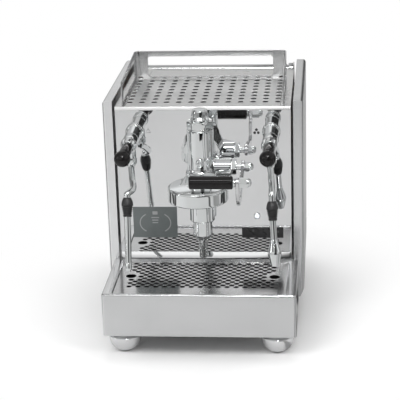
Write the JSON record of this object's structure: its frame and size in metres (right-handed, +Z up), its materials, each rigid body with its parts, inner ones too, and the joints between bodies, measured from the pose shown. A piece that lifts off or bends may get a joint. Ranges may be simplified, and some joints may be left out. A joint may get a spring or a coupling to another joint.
{
  "type": "lever espresso machine",
  "caption": "Compact espresso machine with a lever-worked brew group, steam and hot water wands, drip drawer, cup plate with rail and chromed feet.",
  "frame": {"origin": "on the floor under the middle of the bounding box", "axes": "+Z up, the front with the group faces -Y, +X to the right of a person facing the front"},
  "size_m": [0.29, 0.435, 0.373],
  "materials": {
    "stainless_polished": "polished stainless sheet",
    "stainless_brushed": "brushed or as rolled stainless sheet",
    "chrome_plate": "bright chrome plating",
    "copper": "plain copper, slightly dulled",
    "brass": "plain turned brass",
    "black_phenolic": "glossy black phenolic",
    "black_rubber": "matt black rubber",
    "grey_plastic": "matt grey plastic",
    "tank_plastic": "translucent white plastic",
    "black_plastic": "matt black plastic",
    "lamp_lens": "clear lamp lens"
  },
  "bodies": {
    "housing": {"side_panel_right": "stainless_polished", "side_panel_left": "stainless_polished", "front_strip": "stainless_polished", "top_cover": "stainless_polished", "cup_rail": "stainless_polished", "base_pan": "stainless_brushed", "rear_panel": "stainless_brushed", "boiler_cradle": "stainless_brushed", "mounting_plate": "stainless_brushed", "shower_screen": "stainless_brushed", "foot_front_left": "chrome_plate", "foot_front_right": "chrome_plate", "foot_rear_left": "chrome_plate", "foot_rear_right": "chrome_plate", "front_panel": "chrome_plate", "rear_bar": "chrome_plate", "group_body": "chrome_plate", "group_cap": "chrome_plate", "lower_chamber": "chrome_plate", "steam_valve_body": "chrome_plate", "steam_valve_ring": "chrome_plate", "water_valve_body": "chrome_plate", "water_valve_ring": "chrome_plate", "boiler": "copper", "steam_pipe": "copper", "water_pipe": "copper", "group_pipes": "copper", "pump_pipe": "copper", "heating_element": "brass", "group_nut": "brass", "tank_hose": "black_rubber", "group_gasket": "black_rubber", "pump": "grey_plastic", "control_box": "grey_plastic", "water_tank": "tank_plastic", "mains_inlet": "black_plastic", "switch_frame": "black_plastic", "pilot_light": "lamp_lens"},
    "lever": {"lever_shaft": "chrome_plate", "lever_arm": "stainless_polished", "lever_grip": "black_phenolic", "lever_bolt": "chrome_plate"},
    "steam_stick_pivot": {"steam_pivot": "brass"},
    "steam_stick": {"steam_knob": "black_phenolic"},
    "water_stick_pivot": {"water_pivot": "brass"},
    "water_stick": {"water_knob": "black_phenolic"},
    "steam_wand_swivel": {"steam_wand_ball": "chrome_plate"},
    "steam_wand": {"steam_wand_tube": "chrome_plate", "steam_wand_sleeve": "black_rubber", "steam_wand_tip": "chrome_plate"},
    "water_wand_swivel": {"water_wand_ball": "chrome_plate"},
    "water_wand": {"water_wand_tube": "chrome_plate", "water_wand_sleeve": "black_rubber", "water_wand_tip": "chrome_plate"},
    "drip_drawer": {"drip_housing": "stainless_polished", "drip_tub": "stainless_brushed"},
    "drip_grate": {"drip_grate": "stainless_polished"},
    "cup_plate": {"cup_plate": "stainless_polished"},
    "tank_lid": {"tank_lid": "stainless_polished"},
    "power_switch": {"switch_rocker": "black_plastic"}
  },
  "joints": [
    {"name": "lever_turn", "type": "hinge", "parent": "housing", "child": "lever", "pos_m": [0, -0.0775, 0.25], "axis": [-1, 0, 0], "range_deg": [0, 60]},
    {"name": "drawer_slide", "type": "slide", "parent": "housing", "child": "drip_drawer", "axis": [0, -1, 0], "range_m": [0, 0.12]},
    {"name": "grate_lift", "type": "slide", "parent": "drip_drawer", "child": "drip_grate", "axis": [0, 0, 1], "range_m": [0, 0.015]},
    {"name": "cup_plate_lift", "type": "slide", "parent": "housing", "child": "cup_plate", "axis": [0, 0, 1], "range_m": [0, 0.03]},
    {"name": "tank_lid_lift", "type": "slide", "parent": "housing", "child": "tank_lid", "axis": [0, 0, 1], "range_m": [0, 0.03]},
    {"name": "power_switch_rock", "type": "hinge", "parent": "housing", "child": "power_switch", "pos_m": [0.046, 0.2105, 0.062], "axis": [1, 0, 0], "range_deg": [-8, 8]},
    {"name": "steam_stick_tilt", "type": "hinge", "parent": "housing", "child": "steam_stick_pivot", "pos_m": [-0.099, -0.1105, 0.29], "axis": [1, 0, 0], "range_deg": [-10, 10], "stiffness_Nm_per_rad": 2},
    {"name": "steam_stick_swing", "type": "hinge", "parent": "steam_stick_pivot", "child": "steam_stick", "pos_m": [-0.099, -0.1105, 0.29], "axis": [0, 0, 1], "range_deg": [-10, 10], "stiffness_Nm_per_rad": 2},
    {"name": "steam_wand_turn", "type": "hinge", "parent": "housing", "child": "steam_wand_swivel", "pos_m": [-0.099, -0.0885, 0.256], "axis": [0, 0, 1], "range_deg": [-35, 35]},
    {"name": "steam_wand_tilt", "type": "hinge", "parent": "steam_wand_swivel", "child": "steam_wand", "pos_m": [-0.099, -0.0885, 0.256], "axis": [-1, 0, 0], "range_deg": [-25, 5]},
    {"name": "water_stick_tilt", "type": "hinge", "parent": "housing", "child": "water_stick_pivot", "pos_m": [0.099, -0.1105, 0.29], "axis": [1, 0, 0], "range_deg": [-10, 10], "stiffness_Nm_per_rad": 2},
    {"name": "water_stick_swing", "type": "hinge", "parent": "water_stick_pivot", "child": "water_stick", "pos_m": [0.099, -0.1105, 0.29], "axis": [0, 0, 1], "range_deg": [-10, 10], "stiffness_Nm_per_rad": 2},
    {"name": "water_wand_turn", "type": "hinge", "parent": "housing", "child": "water_wand_swivel", "pos_m": [0.099, -0.0885, 0.256], "axis": [0, 0, 1], "range_deg": [-35, 35]},
    {"name": "water_wand_tilt", "type": "hinge", "parent": "water_wand_swivel", "child": "water_wand", "pos_m": [0.099, -0.0885, 0.256], "axis": [-1, 0, 0], "range_deg": [-25, 5]}
  ]
}
